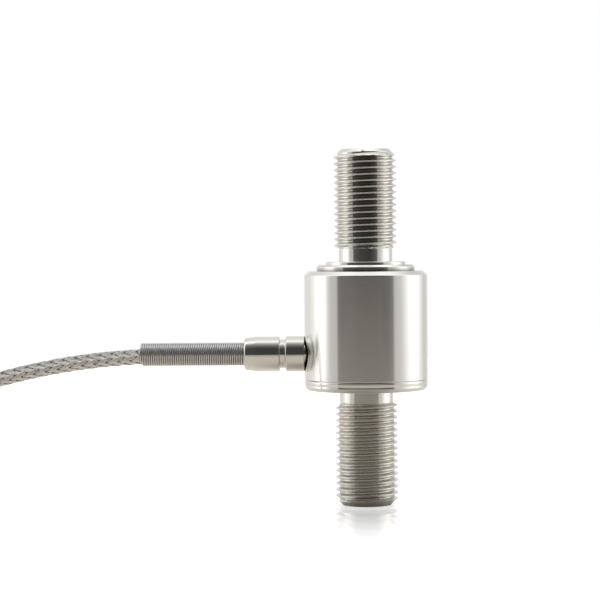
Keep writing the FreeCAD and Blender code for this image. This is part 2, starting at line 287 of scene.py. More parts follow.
# The four flats for the gauges: rows at their ends, and the points between them drawn in to the flats
flat_step = 0.01
waist = np.searchsorted(middle[:, 1], boss_bottom - column_flare, side="left")
flats = [(column_radius, flat_bottom), (column_radius, flat_bottom + flat_step),
         (column_radius, flat_top - flat_step), (column_radius, flat_top)]
middle = np.insert(middle, waist, flats, axis=0)
middle_grid, middle_uv = turned(middle, element_columns)
in_flats = (middle_grid[..., 2] > flat_bottom) & (middle_grid[..., 2] < flat_top)
furthest = np.abs(middle_grid[..., :2]).max(axis=-1)
middle_grid[..., :2] *= np.where(in_flats, np.minimum(1, flat_distance / furthest), 1)[..., None]

threaded_bar = grid_piece(
    "threaded_bar",
    lower_face,
    threaded(0, lower_neck_start, stud_end, neck_radius, chamfer_slope, run_out_slope, element_columns),
    (middle_grid, middle_uv),
    threaded(upper_neck_end, element_top, neck_radius, stud_end, run_out_slope, chamfer_slope,
             element_columns),
    upper_face)

# The thread's grooves are painted darker than its crests: painted shade, deepest at the roots. Each
# point's depth is how far it lies under the uncut bar, which has its chamfers, run-outs and end faces
face_skin = 0.01
bar_points = np.empty(3 * len(threaded_bar.data.vertices), np.float32)
threaded_bar.data.vertices.foreach_get("co", bar_points)
bar_x, bar_y, bar_height = bar_points.reshape(-1, 3).T / MILLIMETRE
run_out = (stud_radius - neck_radius) / run_out_slope
uncut_heights = [
    0, face_skin, stud_chamfer, lower_neck_start - run_out, lower_neck_start, upper_neck_end,
    upper_neck_end + run_out, element_top - stud_chamfer, element_top - face_skin, element_top]
uncut_radii = [
    0, stud_end, stud_radius, stud_radius, neck_radius, neck_radius,
    stud_radius, stud_radius, stud_end, 0]
uncut = np.interp(bar_height, uncut_heights, uncut_radii)
groove = np.clip((uncut - np.hypot(bar_x, bar_y)) / thread_depth, 0, 1)
groove_depth = threaded_bar.data.attributes.new("groove_depth", "FLOAT", "POINT")
groove_depth.data.foreach_set("value", groove.astype(np.float32))

turned_stainless = turned_steel(
    "turned_stainless_steel", steel_colour,
    roughness=0.07, spread=0.6, line_spacing=0.35, line_depth=0.0003)
tree = turned_stainless.node_tree
depth = add_node(tree, "ShaderNodeAttribute", {"attribute_name": "groove_depth"})
root = add_node(tree, "ShaderNodeMath", {"operation": "POWER"}, {
    0: depth.outputs["Fac"], 1: groove_falloff})
# Painted shade: the base colour darkens towards the thread's roots
tint = add_node(tree, "ShaderNodeMix", {"data_type": "RGBA"}, {
    "Factor": root.outputs[0], 6: linear(steel_colour), 7: linear(painted_groove_shade)})
tree.links.new(tint.outputs[2], tree.nodes["Principled BSDF"].inputs["Base Color"])
fit(threaded_bar, turned_stainless, "turned_stainless", "sensing_element")


# Bridge inside the body: foil gauges bonded to the column's four flats, and a ring board with its pads,
# chip resistors and copper ribbons. The sleeve and the diaphragm close them in, so they keep their
# plain solids.

grain_height = 0.02
grain_strength = 0.4


def fine_grain(name, colour, shade, grain, roughness, metallic=0.0):
    """Plain material with a grain of a second shade; the grain's width is in millimetres."""
    material, tree, shader = new_material(name, Roughness=roughness, Metallic=metallic)
    place = add_node(tree, "ShaderNodeTexCoord")
    noise = add_node(tree, "ShaderNodeTexNoise", inputs={
        "Vector": place.outputs["Object"], "Scale": 1 / (grain * MILLIMETRE), "Detail": 4.0})
    tint = add_node(tree, "ShaderNodeMix", {"data_type": "RGBA"}, {
        "Factor": noise.outputs["Fac"], 6: linear(colour), 7: linear(shade)})
    bump = add_node(tree, "ShaderNodeBump", inputs={
        "Height": noise.outputs["Fac"], "Distance": grain_height * MILLIMETRE, "Strength": grain_strength})
    tree.links.new(tint.outputs[2], shader.inputs["Base Color"])
    tree.links.new(bump.outputs["Normal"], shader.inputs["Normal"])
    return material


def dress(material, *nodes):
    """Gives CAD nodes a material."""
    for node in nodes:
        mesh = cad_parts[node].data
        mesh.materials.clear()
        mesh.materials.append(material)


# Amber foil, satin green laminate, bright solder, glossy dark chips and bright copper
dress(fine_grain("polyimide_foil", "#B5762A", "#8F5A1C", grain=0.4, roughness=0.35),
      "strain_gauge_front", "strain_gauge_back", "strain_gauge_left", "strain_gauge_right")
dress(fine_grain("glass_epoxy_laminate", "#2F6B42", "#24563A", grain=0.5, roughness=0.45), "bridge_board")
dress(fine_grain("solder", "#C9C8C4", "#AFAEA9", grain=0.3, roughness=0.3, metallic=1.0),
      "solder_terminals")
dress(fine_grain("glazed_chip", "#26282A", "#34373A", grain=0.3, roughness=0.3), "compensation_resistors")
dress(fine_grain("copper_ribbon", "#C77A4A", "#A9623A", grain=0.4, roughness=0.3, metallic=1.0),
      "gauge_wires")


# Housing sleeve: a thin stainless tube with a turned-in lip, welded to the flange along a fine seam.
# It is finish-turned and polished, so it mirrors the studio sharply across and softly along its axis.

sleeve_wall = 1.5
sleeve_lip = 1.2
sleeve_top = 47.48
sleeve_chamfer = (0.88, 0.82)
sleeve_chamfer_rounding = 0.2
sleeve_foot_rounding = 0.12
lip_rounding = 0.15
diaphragm_radius = 9.95
sleeve_columns = 193
fitting_height = node_box("cable_fitting")[0][2] / 2 + node_box("cable_fitting")[1][2] / 2

sleeve_inner = body_radius - sleeve_wall
sleeve_outline = rounded_outline([
    (sleeve_inner, fitting_height, 0),
    (sleeve_inner, seam_height, 0),
    (body_radius, seam_height, sleeve_foot_rounding),
    (body_radius, sleeve_top - sleeve_chamfer[1], sleeve_chamfer_rounding),
    (body_radius - sleeve_chamfer[0], sleeve_top, sleeve_chamfer_rounding),
    (diaphragm_radius, sleeve_top, lip_rounding),
    (diaphragm_radius, sleeve_top - sleeve_lip, 0),
    (sleeve_inner, sleeve_top - sleeve_lip, 0),
    (sleeve_inner, fitting_height, 0),
], steps=10)
sleeve = grid_piece("polished_sleeve", turned(sleeve_outline, sleeve_columns))
polished_stainless = turned_steel(
    "polished_stainless_steel", "#DAD8D4",
    roughness=0.165, spread=0.845, line_spacing=0.5, line_depth=0.0003)
fit(sleeve, polished_stainless, "polished_stainless", "housing_sleeve")


# Top diaphragm: a thin turned ring, welded to the sleeve's lip outside and to the boss inside. It keeps
# the gauges dry and bends with the column. Round its foot it is painted darker, as painted shade.

diaphragm_top = 48.75
diaphragm_chamfer = (0.4, 0.42)
diaphragm_rounding = 0.1
diaphragm_inner_rounding = 0.08
diaphragm_web = 0.4
diaphragm_rim = 0.7
foot_shade_colour = "#79736C"
foot_shade_reach = 0.8

rim_inner = diaphragm_radius - diaphragm_rim
web_bottom = diaphragm_top - diaphragm_web
diaphragm_outline = rounded_outline([
    (boss_radius, (web_bottom + diaphragm_top) / 2, 0),
    (boss_radius, web_bottom, 0),
    (rim_inner, web_bottom, 0),
    (rim_inner, sleeve_top - sleeve_lip, 0),
    (diaphragm_radius, sleeve_top - sleeve_lip, 0),
    (diaphragm_radius, diaphragm_top - diaphragm_chamfer[1], diaphragm_rounding),
    (diaphragm_radius - diaphragm_chamfer[0], diaphragm_top, diaphragm_rounding),
    (boss_radius, diaphragm_top, diaphragm_inner_rounding),
    (boss_radius, (web_bottom + diaphragm_top) / 2, 0),
])
diaphragm = grid_piece("diaphragm_ring", turned(diaphragm_outline, element_columns))
foot_shaded_steel = turned_steel(
    "shade_painted_stainless_steel", steel_colour,
    roughness=0.13, spread=0.6, line_spacing=0.35, line_depth=0.0006)
tree = foot_shaded_steel.node_tree
place = add_node(tree, "ShaderNodeTexCoord")
height = add_node(tree, "ShaderNodeSeparateXYZ", inputs={"Vector": place.outputs["Object"]})
above_weld = add_node(tree, "ShaderNodeMapRange", inputs={
    "Value": height.outputs["Z"], "From Min": sleeve_top * MILLIMETRE,
    "From Max": (sleeve_top + foot_shade_reach) * MILLIMETRE})
# Painted shade: darker at the diaphragm's foot, where it meets the sleeve's lip, fading out above it
tint = add_node(tree, "ShaderNodeMix", {"data_type": "RGBA"}, {
    "Factor": above_weld.outputs["Result"], 6: linear(foot_shade_colour), 7: linear(steel_colour)})
tree.links.new(tint.outputs[2], tree.nodes["Principled BSDF"].inputs["Base Color"])
fit(diaphragm, foot_shaded_steel, "turned_stainless", "top_diaphragm")


# Cable fitting: a small stainless turning with a collar, a groove and a tapered barrel, which shows soft
# light and dark bands along its length. Its spigot is pressed into the sleeve's side hole. Inside are the
# potting round the cores, black and glossy, and the crimp on the cable, bright brass.

spigot_radius = 2.2
collar_radius = 3.6
collar_end = 16.35
collar_foot_rounding = 0.1
collar_rounding = 0.3
groove_radius = 2.93
groove_end = 17.55
groove_rounding = 0.2
barrel_radius = 3.52
barrel_taper_start = 22.4
barrel_taper_rounding = 0.5
barrel_nose_radius = 3.2
barrel_nose_rounding = 0.45
mouth_rounding = 0.1
bore_radius = 1.55
pocket_start = 14.0
fitting_columns = 97


def along_cable(surface):
    """Surface built round Z, laid along the cable's axis so that its height runs to -X."""
    grid, uv = surface
    laid = np.stack([-grid[..., 2], grid[..., 1], fitting_height + grid[..., 0]], axis=-1)
    return laid, uv


spigot_end, fitting_end = -node_box("cable_fitting")[1][0], -node_box("cable_fitting")[0][0]
spring_radius = node_box("strain_relief_spring")[1][2] - fitting_height
fitting_outline = rounded_outline([
    (bore_radius, body_radius, 0),
    (bore_radius, spigot_end, 0),
    (spigot_radius, spigot_end, 0),
    (spigot_radius, body_radius, 0),
    (collar_radius, body_radius, collar_foot_rounding),
    (collar_radius, collar_end, collar_rounding),
    (groove_radius, collar_end, groove_rounding),
    (groove_radius, groove_end, groove_rounding),
    (barrel_radius, groove_end, groove_rounding),
    (barrel_radius, barrel_taper_start, barrel_taper_rounding),
    (barrel_nose_radius, fitting_end, barrel_nose_rounding),
    (spring_radius, fitting_end, mouth_rounding),
    (spring_radius, pocket_start, 0),
    (bore_radius, pocket_start, 0),
    (bore_radius, body_radius, 0),
])
fitting = grid_piece("grooved_fitting", along_cable(turned(fitting_outline, fitting_columns)))
fitting_stainless = turned_steel(
    "fitting_stainless_steel", steel_colour,
    roughness=0.12, spread=0.6, line_spacing=0.4, line_depth=0.0004)
fit(fitting, fitting_stainless, "polished_stainless", "cable_fitting")

dress(fine_grain("potting_epoxy", "#2B2A2C", "#1C1B1D", grain=0.6, roughness=0.3), "epoxy_plug")
dress(fine_grain("drawn_brass", "#C9A35A", "#B08C46", grain=0.5, roughness=0.3, metallic=1.0),
      "crimp_ferrule")


# Cable cores: extruded PTFE on stranded copper, in the four colours of a bridge lead, smooth with a waxy
# sheen. They show only at the stripped far end, and run inside the body from the plug to the board.

core_colours = {"red": ("#B3221C", "#9C1B17"), "black": ("#1D1D1F", "#2A2A2C"),
                "green": ("#1F7A3C", "#196632"), "white": ("#E9E7E1", "#DAD8D1")}
core_materials = {}
for colour, shades in core_colours.items():
    core_materials[colour] = fine_grain("extruded_ptfe_" + colour, *shades, grain=0.8, roughness=0.32)
    dress(core_materials[colour], "inner_lead_" + colour)


# Strain-relief spring: drawn stainless wire wound close, bright with dark lines between its coils. It is
# pushed into the fitting's nose over the cable, and its last turn is simply cut off, towards the front.

wire_radius = 0.219
spring_seat, spring_end = -node_box("strain_relief_spring")[1][0], -node_box("strain_relief_spring")[0][0]
coil_pitch = 0.4458
wire_end_angle = -0.6
steps_per_coil = 28
wire_sides = 11


def wound_wire(start, end):
    """Round wire on a helix about the cable's axis. Parameters are the way along the wire and the angle
    round its section; the section's two directions are radially outwards and along the axis. The wire's
    ends close to a point."""
    coil_radius = spring_radius - wire_radius
    first, last = start + wire_radius, end - wire_radius
    coils = (last - first) / coil_pitch
    way = np.linspace(0, 1, int(coils * steps_per_coil))
    way = np.concatenate([way[:1], way, way[-1:]])
    section = np.full(len(way), wire_radius)
    section[[0, -1]] = 0
    angle = wire_end_angle + TURN * coils * (1 - way)[:, None]
    around = TURN * np.linspace(0, 1, wire_sides)
    radius = coil_radius + section[:, None] * np.cos(around)
    distance = first + (last - first) * way[:, None] + section[:, None] * np.sin(around)
    grid = np.stack([-distance, -radius * np.cos(angle), fitting_height + radius * np.sin(angle)], axis=-1)
    length = TURN * coil_radius * coils * way[:, None]
    uv = np.stack(np.broadcast_arrays(around / TURN, length), axis=-1)
    return grid, uv


spring = grid_piece("wound_spring", wound_wire(spring_seat, spring_end))
spring_wire = fine_grain(
    "drawn_spring_wire", "#C1C0BE", "#AEADAB", grain=0.25, roughness=0.24, metallic=1.0)
fit(spring, spring_wire, "spring_steel", "strain_relief_spring")


# Cable: four cores in a dark, satin wrap under a bare metal braid. It leaves the spring, sags to the surface
# and lies in a flat hank of eight turns, two beside each other in four layers. The last turn ends inside
# the hank, stripped to its cores.

cable_radius = 1.5
wrap_radius = 1.36
cable_route = [
    (-13.0, 0.0, 30.7),
    (-28.0, 0.0, 30.7),
    (-46.5, 0.0, 30.45),
    (-61.5, -0.6, 28.95),
    (-76.5, -2.2, 25.7),
    (-91.0, -4.6, 20.6),
    (-105.0, -7.2, 15.9),
    (-118.5, -8.8, 12.9),
    (-131.0, -9.0, 11.2),
    (-142.0, -9.0, 10.3),
]
tail_route = [
    (-100.0, -9.0, 2.1),
    (-109.0, -8.2, 2.05),
    (-117.0, -3.9, 1.9),
    (-125.5, -2.6, 1.85),
]
hank_layers = 4
bend_points = 6
run_points = 4
change_points = 10
first_change = -101.0
change_step = -4.0
change_length = 10.0
wrap_sides = 25
cable_resolution = 10


def spline_line(points, resolution):
    """Points along a smooth NURBS line of order 3 that starts and ends at its first and last control
    points."""
    curve = bpy.data.curves.new("route", "CURVE")
    curve.dimensions = "3D"
    curve.resolution_u = resolution
    spline = curve.splines.new("NURBS")
    spline.points.add(len(points) - 1)
    weighted = np.column_stack([points, np.ones(len(points))]).astype(np.float32)
    spline.points.foreach_set("co", weighted.ravel())
    spline.order_u = 3
    spline.use_endpoint_u = True
    holder = bpy.data.objects.new("route", curve)
    mesh = bpy.data.meshes.new_from_object(holder)
    line = np.empty(3 * len(mesh.vertices), np.float32)
    mesh.vertices.foreach_get("co", line)
    bpy.data.meshes.remove(mesh)
    bpy.data.objects.remove(holder)
    bpy.data.curves.remove(curve)
    return line.reshape(-1, 3).astype(float)


def smooth_step(value):
    """0 below 0, 1 above 1 and a smooth rise between them."""
    share = np.clip(value, 0, 1)
    return share * share * (3 - 2 * share)


def hank_turns():
    """Control points of the hank's turns. A turn is a half circle at the far end, a run back, a half
    circle at the near end and a run forth, on which it changes to the next turn's radius and height. The
    points of a half circle are the corners of a polygon round it, so that the line touches the circle."""
    low, high = node_box("cable_hank")
    outer = high[1] - cable_radius
    inner = outer - 2 * cable_radius
    near, far = high[0] - high[1], low[0] + high[1]
    layers = np.linspace(high[2] - cable_radius, low[2] + cable_radius, hank_layers)
    radii = np.tile([inner, outer, outer, inner], hank_layers // 2)
    heights = np.repeat(layers, 2)
    half_step = np.pi / bend_points / 2
    bend = np.linspace(half_step, np.pi - half_step, bend_points)
    turns = []
    for turn, (radius, height) in enumerate(zip(radii, heights)):
        corner = radius / np.cos(half_step)
        margin = radius * np.tan(half_step)
        level = np.full(bend_points, height)
        turns.append(np.column_stack([far - corner * np.sin(bend), -corner * np.cos(bend), level]))
        run = np.linspace(far + margin, near - margin, run_points)
        turns.append(np.column_stack([run, np.full(run_points, radius), np.full(run_points, height)]))
        turns.append(np.column_stack([near + corner * np.sin(bend), corner * np.cos(bend), level]))
        if turn + 1 < len(radii):
            run = np.linspace(near - margin, far + margin, change_points)
            begin = first_change + change_step * (len(radii) - 2 - turn)
            changed = smooth_step((begin - run) / change_length)
            turns.append(np.column_stack([
                run,
                -radius - (radii[turn + 1] - radius) * changed,
                height + (heights[turn + 1] - height) * changed]))
    return np.concatenate(turns)


def line_frame(line):
    """Directions at each point of a line that is never upright: level to its side, and square to both."""
    heading = unit(np.gradient(line, axis=0))
    side = unit(np.cross(heading, [0, 0, 1]))
    return side, np.cross(side, heading)


def capped(grid, uv):
    """Surface of closed sections with its two ends closed: a row at the middle of the first and last
    one."""
    middles = np.broadcast_to(grid[[0, -1], :-1].mean(axis=1, keepdims=True), grid[[0, -1]].shape)
    return np.concatenate([middles[:1], grid, middles[1:]]), np.concatenate([uv[:1], uv, uv[-1:]])


def carried(line, radii, sides):
    """Round section carried along a line, one radius for all of it or one for each point, with flat
    ends. UVs are the share of a turn and the millimetres along the line."""
    side, rise = line_frame(line)
    share = np.linspace(0, 1, sides)
    ring = np.cos(TURN * share)[:, None] * side[:, None] + np.sin(TURN * share)[:, None] * rise[:, None]
    grid = line[:, None] + np.broadcast_to(radii, len(line))[:, None, None] * ring
    uv = np.stack(np.broadcast_arrays(share, measured(line)[:, None]), axis=-1)
    return capped(grid, uv)


cable_line = spline_line(np.concatenate([cable_route, hank_turns(), tail_route]), cable_resolution)
cable = grid_piece("wrapped_cable", carried(cable_line, wrap_radius, wrap_sides))
wrap_tape = fine_grain("wrapped_ptfe_tape", "#4B4946", "#383634", grain=0.5, roughness=0.45)
fit(cable, wrap_tape, "ptfe_black", "sensor_cable", "cable_hank", "cable_tail")


# Braid: sixteen flat bands of fine bare wire, eight wound each way round the cable, each over two and
# under two of the others. It shows silvery bands with small dark gaps between them.

braid_lay = 20.0
bands_each_way = 8
band_radius = 1.49
band_lift = 0.065
band_width = 0.84
band_crown = 0.045
band_thickness = 0.09
wires_in_band = 6
wire_height = 0.04
wire_light = 0.8
shade_length = 1.25
free_steps = 48
hank_steps = 16
free_start = 1.5 * braid_lay
free_end = 6.4 * braid_lay
last_step_margin = 0.01


def braid_bands(line, start, end, steps):
    """Surfaces of all bands between two lengths of a line. A band's angle turns once in each lay, forwards
    or backwards. Its height is a wave with four crossings to the period, one up for one way where the
    other way's is down. Its section is a crowned strip, and a step falls on every crossing."""
    along = np.arange(start, end + last_step_margin, braid_lay / steps)
    whole = measured(line)
    points = np.stack([np.interp(along, whole, coordinate) for coordinate in line.T], axis=-1)
    side, rise = line_frame(points)
    lays = along[:, None] / braid_lay
    across = np.array([-1, -0.5, 0.5, 1, 0, -1])
    height = np.array([0, band_crown, band_crown, 0, -band_thickness, 0])
    slant = np.hypot(1, TURN * band_radius / braid_lay)
    half_angle = band_width / 2 * slant / band_radius
    surfaces = []
    for way in (1, -1):
        for band in range(bands_each_way):
            crossing = 2 * band + way * 2 * bands_each_way * lays
            wave = np.clip(np.sqrt(2) * np.sin(np.pi / 2 * (crossing + 0.5)), -1, 1)
            angle = way * TURN * lays + TURN * band / bands_each_way + across * half_angle
            radius = band_radius + band_lift * way * wave + height
            grid = points[:, None] + radius[..., None] * (
                np.cos(angle)[..., None] * side[:, None] + np.sin(angle)[..., None] * rise[:, None])
            uv = np.stack(np.broadcast_arrays((across + 1) / 2, along[:, None]), axis=-1)
            surfaces.append(capped(grid, uv))
    return surfaces


def stranded_wire(name, colour, shaded_groove_colour, roughness):
    """Flat band of fine bright wires side by side: each wire is a ridge, with painted shade in the groove
    beside it, and its tone wanders along the length."""
    material, tree, shader = new_material(name, Metallic=1.0, Roughness=roughness)
    surface = add_node(tree, "ShaderNodeUVMap", {"uv_map": "surface"})
    place = add_node(tree, "ShaderNodeSeparateXYZ", inputs={"Vector": surface.outputs["UV"]})
    wire = add_node(tree, "ShaderNodeMath", {"operation": "PINGPONG"}, {
        0: place.outputs["X"], 1: 0.5 / wires_in_band})
    ridge = add_node(tree, "ShaderNodeMath", {"operation": "MULTIPLY"}, {
        0: wire.outputs[0], 1: 2.0 * wires_in_band})
    shade = add_node(tree, "ShaderNodeTexNoise", {"noise_dimensions": "1D"}, {
        "W": place.outputs["Y"], "Scale": 1 / shade_length, "Detail": 2.0})
    light = add_node(tree, "ShaderNodeMath", {"operation": "MULTIPLY_ADD"}, {
        0: ridge.outputs[0], 1: wire_light, 2: shade.outputs["Fac"]})
    # Painted shade: a darker colour in the grooves between the wires
    tint = add_node(tree, "ShaderNodeMix", {"data_type": "RGBA"}, {
        "Factor": light.outputs[0], 6: linear(shaded_groove_colour), 7: linear(colour)})
    bump = add_node(tree, "ShaderNodeBump", inputs={
        "Height": ridge.outputs[0], "Distance": wire_height * MILLIMETRE, "Strength": 1.0})
    tree.links.new(tint.outputs[2], shader.inputs["Base Color"])
    tree.links.new(bump.outputs["Normal"], shader.inputs["Normal"])
    return material


braid_wire = stranded_wire("bare_braid_wire", "#E0DEDA", "#A5A29C", roughness=0.2)
cable_length = measured(cable_line)[-1]
free_braid = grid_piece("free_braid", *braid_bands(cable_line, free_start, free_end, free_steps))
hank_braid = grid_piece("hank_braid", *braid_bands(cable_line, free_end, cable_length, hank_steps))
fit(free_braid, braid_wire, "metal_braid")
fit(hank_braid, braid_wire, "metal_braid")


# Stripped far end: a satin black sleeve shrunk over the cut braid, the four cores fanned out on the surface,
# and their strands, twisted and tinned to a dull silver.

shrink_on_cable = 4.5
shrink_length = 9.5
shrink_radius = 1.8
shrink_waist = 1.35
shrink_wall = 0.35
shrink_steps = 48
shrink_sides = 33
shoulder_start = 0.4
shoulder_length = 1.5
lead_radius = 0.45
lead_bend = 8.5
lead_landing = 13.5
lead_end = 18.0
lead_drop = -1.15
lead_resolution = 14
lead_sides = 17
lead_fan = {"red": (-0.5, 0.5, -3.2), "black": (-0.5, -0.5, -1.0),
            "green": (0.5, -0.5, 1.0), "white": (0.5, 0.5, 3.2)}
tip_length = 2.0
tip_inside = 1.0
strand_radius = 0.075
strand_ring = 0.14
strand_lay = 3.0
strand_steps = 24
strand_sides = 9
outer_strands = 6

cut_end = np.array(tail_route[-1])
end_heading = unit(cut_end - np.array(tail_route[-2]))
end_side = unit(np.cross(end_heading, [0, 0, 1]))
end_rise = np.cross(end_side, end_heading)

ahead = np.linspace(0, shrink_length, shrink_steps) - shrink_on_cable
ends_off = np.minimum(ahead + shrink_on_cable, shrink_length - shrink_on_cable - ahead)
shrink_radii = shrink_waist + (shrink_radius - shrink_waist) * (1 - smooth_step(
    (ahead - shoulder_start) / shoulder_length))
shrink_radii -= shrink_wall / 2 * (1 - smooth_step(ends_off / shrink_wall))
shrink_line = cut_end + ahead[:, None] * end_heading
shrunk = grid_piece("shrunk_sleeve", carried(shrink_line, shrink_radii, shrink_sides))
shrink_tube = fine_grain("shrunk_polyolefin", "#1B1C1E", "#26272A", grain=0.7, roughness=0.42)
fit(shrunk, shrink_tube, "shrink_sleeve", "end_sleeve")

cord_pieces = [free_braid, hank_braid, shrunk]
strands = []
for colour, (start_side, start_rise, end_across) in lead_fan.items():
    stations = np.array([(0, start_side, start_rise), (lead_bend, start_side, start_rise),
                         (lead_landing, end_across, lead_drop), (lead_end, end_across, lead_drop)])
    lead_line = spline_line(cut_end + stations @ [end_heading, end_side, end_rise], lead_resolution)
    lead = grid_piece("core_" + colour, carried(lead_line, lead_radius, lead_sides))
    fit(lead, core_materials[colour], "ptfe_" + colour, "lead_" + colour)
    cord_pieces.append(lead)
    out = np.linspace(-tip_inside, tip_length, strand_steps)[:, None]
    tip_line = lead_line[-1] + out * end_heading
    strands.append(carried(tip_line, strand_radius, strand_sides))
    for strand in range(outer_strands):
        angle = TURN * (out / strand_lay + strand / outer_strands)
        off_axis = strand_ring * (np.cos(angle) * end_side + np.sin(angle) * end_rise)
        strands.append(carried(tip_line + off_axis, strand_radius, strand_sides))
tips = grid_piece("twisted_strands", *strands)
tinned_copper = fine_grain(
    "tinned_copper", "#C9C7C2", "#B0AEA8", grain=0.2, roughness=0.28, metallic=1.0)
fit(tips, tinned_copper, "tinned_copper", "lead_tips")
cord_pieces.append(tips)


# Hank ties: two moulded polyamide cable ties, cream-white with a satin skin, each pulled tight round one run
# of the hank. The band has a raised rim along each edge and a ladder of teeth between them, and its lock
# sits on top.

tie_places = {"front": -95.0, "back": -129.0}
bundle_width = 6.0
bundle_height = 11.25
bundle_rounding = 1.4
tie_width = 3.6
tie_thickness = 0.6
tie_rim = 0.45
rim_slope = 0.1
tie_recess = 0.16
tooth_pitch = 0.9
tooth_share = 0.35
steps_per_tooth = 6
lock_size = np.array([4.6, 4.0, 2.4])
lock_rounding = 0.45


def tie_band(place, middle):
    """Strap round the bundle. The path is a rounded rectangle in the plane of Y and Z, and the section runs
    across the strap and outwards; the part between the rims rises and falls with the teeth."""
    half = bundle_width / 2
    corners = [(0, 0, 0), (half, 0, bundle_rounding), (half, bundle_height, bundle_rounding),
               (-half, bundle_height, bundle_rounding), (-half, 0, bundle_rounding), (0, 0, 0)]
    loop = rounded_outline(corners)
    along = measured(loop)
    spaced = np.linspace(0, along[-1], int(along[-1] / tooth_pitch) * steps_per_tooth + 1)
    loop = np.stack([np.interp(spaced, along, coordinate) for coordinate in loop.T], axis=-1)
    ahead = np.roll(loop[:-1], -1, axis=0) - np.roll(loop[:-1], 1, axis=0)
    ahead = unit(np.concatenate([ahead, ahead[:1]]))
    outward = np.stack([ahead[:, 1], -ahead[:, 0]], axis=-1)
    edge = tie_width / 2
    inner = edge - tie_rim
    across = np.array([-edge, -edge, -inner, rim_slope - inner, inner - rim_slope, inner, edge, edge, -edge])
    recessed = np.array([0, 0, 0, 1, 1, 0, 0, 0, 0])
    height = np.array([0, 1, 1, 1, 1, 1, 1, 0, 0]) * tie_thickness
    tooth = tie_recess * (1 - tooth_share + tooth_share * np.sin(TURN * spaced / tooth_pitch))
    out = height - recessed * tooth[:, None]
    grid = np.empty((len(loop), len(across), 3))
    grid[..., 0] = place + across
    grid[..., 1] = middle + loop[:, :1] + out * outward[:, :1]
    grid[..., 2] = tie_thickness + loop[:, 1:] + out * outward[:, 1:]
    uv = np.stack(np.broadcast_arrays(across, spaced[:, None]), axis=-1)
    return grid, uv


def rounded_block(centre, size, rounding, steps=4):
    """Box with round edges: an eighth of a small ball moved out to each corner, with the flat sides
    between them. The ball is swept by the angle round Z and the lift from the lowest ring to the
    highest."""
    quarter = np.linspace(0, np.pi / 2, steps)
    azimuth = (quarter + np.pi / 2 * np.arange(5)[:, None]).ravel()[:4 * steps + 1]
    corner = np.repeat(np.arange(5), steps)[:4 * steps + 1] * np.pi / 2 + np.pi / 4
    lift = np.concatenate([-quarter[::-1], quarter])[:, None]
    ball = np.stack(np.broadcast_arrays(np.cos(lift) * np.cos(azimuth), np.cos(lift) * np.sin(azimuth),
                                        np.sin(lift)), axis=-1)
    signs = np.stack(np.broadcast_arrays(np.sign(np.cos(corner)), np.sign(np.sin(corner)),
                                         np.repeat([-1, 1], steps)[:, None]), axis=-1)
    grid = centre + signs * (size / 2 - rounding) + ball * rounding
    return capped(grid, grid[..., :2])


polyamide = fine_grain("moulded_natural_polyamide", "#DEDBCF", "#D2CEC0", grain=0.8, roughness=0.38)
for name, place in tie_places.items():
    run_low, run_high = node_box("hank_tie_" + name)
    middle = (run_low[1] + run_high[1]) / 2
    lock_centre = np.array([place, middle, run_high[2] - lock_size[2] / 2])
    tie = grid_piece("cable_tie_" + name, tie_band(place, middle),
                     rounded_block(lock_centre, lock_size, lock_rounding))
    fit(tie, polyamide, "tie_nylon", "hank_tie_" + name)
    cord_pieces.append(tie)

# The hank lies outside the camera's view, so the steel doesn't mirror it
for piece in [cable, *cord_pieces]:
    piece.visible_glossy = piece == free_braid


# Studio: a pale lacquered table, white light from the sides, from above and from behind, and a dark room in
# front. Polished steel shows the dark room as a band down its middle. The camera sees the table and what
# lies beyond it as white, with the cell mirrored round its foot.

frame_width = 121.9
frame_centre = np.array([-13.27, 0.0, 41.64])
camera_distance = 450.0
camera_azimuth = np.radians(2.32)
camera_elevation = np.radians(1.55)
camera_roll = np.radians(0.45)
table_left = -320.0
table_right = 260.0
table_depth = 560.0
table_top = -0.02
table_glow = 0.6
lacquer_index = 1.5

towards = np.array([np.sin(camera_azimuth) * np.cos(camera_elevation),
                    -np.cos(camera_azimuth) * np.cos(camera_elevation), np.sin(camera_elevation)])
lens = bpy.data.cameras.new("photo_camera")
lens.angle = 2 * np.arctan(frame_width / 2 / camera_distance)
lens.clip_start = 0.05
camera = bpy.data.objects.new("photo_camera", lens)
bpy.context.scene.collection.objects.link(camera)
camera.location = (frame_centre + towards * camera_distance) * MILLIMETRE
camera.rotation_euler = (np.pi / 2 - camera_elevation, camera_roll, camera_azimuth)
bpy.context.scene.camera = camera


def grey_stops(ramp, stops):
    """Gives a ramp grey levels at (position, level) pairs, and returns its colour."""
    while len(ramp.color_ramp.elements) < len(stops):
        ramp.color_ramp.elements.new(1.0)
    for element, (position, level) in zip(ramp.color_ramp.elements, stops):
        element.position = position
        element.color = (level, level, level, 1)
    return ramp.outputs["Color"]


table_x, table_y = np.meshgrid([table_left, table_right], [-table_depth, table_depth])
table_grid = np.stack([table_x, table_y, np.full_like(table_x, table_top)], axis=-1)
table = grid_piece("table", (table_grid, table_grid[..., :2]))
material, tree, shader = new_material("lacquered_board", Roughness=0.06)
place = add_node(tree, "ShaderNodeTexCoord")
reach = add_node(tree, "ShaderNodeVectorMath", {"operation": "LENGTH"}, {0: place.outputs["Object"]})

